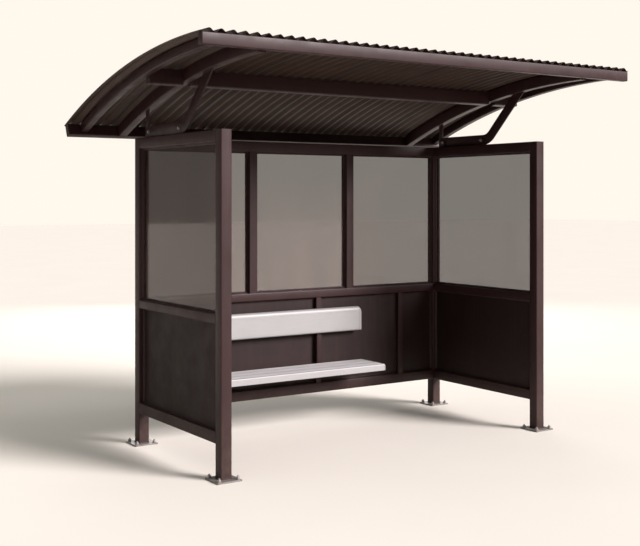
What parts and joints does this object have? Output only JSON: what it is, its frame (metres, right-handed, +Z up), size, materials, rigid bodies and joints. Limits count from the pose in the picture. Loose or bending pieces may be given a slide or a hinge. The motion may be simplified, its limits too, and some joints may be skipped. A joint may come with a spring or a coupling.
{
  "type": "bus shelter",
  "caption": "Open-fronted bus shelter with a square tube frame, glazed upper walls, sheeted lower walls, a plank bench and a curved corrugated roof on braced arms.",
  "frame": {"origin": "on the ground, under the middle of the roof's outline", "axes": "+X along the shelter to the right as seen from the open front, +Y from the open front to the rear wall, +Z up"},
  "size_m": [3.454, 2.1, 2.6462],
  "materials": {
    "frame_paint": "satin dark bronze powder coat",
    "wall_sheet": "satin dark brown sheet",
    "glass": "clear toughened glass with a slight grey tint",
    "bench_alloy": "satin anodised",
    "foot_plate": "hot-dip galvanised",
    "roof_sheet": "satin pre-painted corrugated steel"
  },
  "bodies": {
    "root": {"post_front_left": "frame_paint", "post_front_right": "frame_paint", "post_rear_left": "frame_paint", "post_rear_right": "frame_paint", "base_plate_front_left": "foot_plate", "base_plate_front_right": "foot_plate", "base_plate_rear_left": "foot_plate", "base_plate_rear_right": "foot_plate", "side_top_rail_left": "frame_paint", "side_mid_rail_left": "frame_paint", "side_bottom_rail_left": "frame_paint", "side_top_rail_right": "frame_paint", "side_mid_rail_right": "frame_paint", "side_bottom_rail_right": "frame_paint", "side_glass_left": "glass", "side_glass_right": "glass", "side_panel_left": "wall_sheet", "side_panel_right": "wall_sheet", "rear_top_rail": "frame_paint", "rear_mid_rail": "frame_paint", "rear_bottom_rail": "frame_paint", "rear_mullion_left": "frame_paint", "rear_mullion_right": "frame_paint", "rear_glass_left": "glass", "rear_glass_middle": "glass", "rear_glass_right": "glass", "rear_panel": "wall_sheet", "rear_stile_left": "frame_paint", "rear_stile_middle": "frame_paint", "rear_stile_right": "frame_paint", "seat_plank_front": "bench_alloy", "seat_plank_middle": "bench_alloy", "seat_plank_rear": "bench_alloy", "backrest_plank": "bench_alloy", "bench_bracket_left": "frame_paint", "bench_bracket_right": "frame_paint", "roof_front_fascia": "frame_paint", "roof_rear_beam": "frame_paint", "roof_end_beam_left": "frame_paint", "roof_end_beam_right": "frame_paint", "roof_middle_purlin": "frame_paint", "roof_arm_left": "frame_paint", "roof_arm_right": "frame_paint", "roof_sheeting": "roof_sheet"}
  },
  "joints": []
}
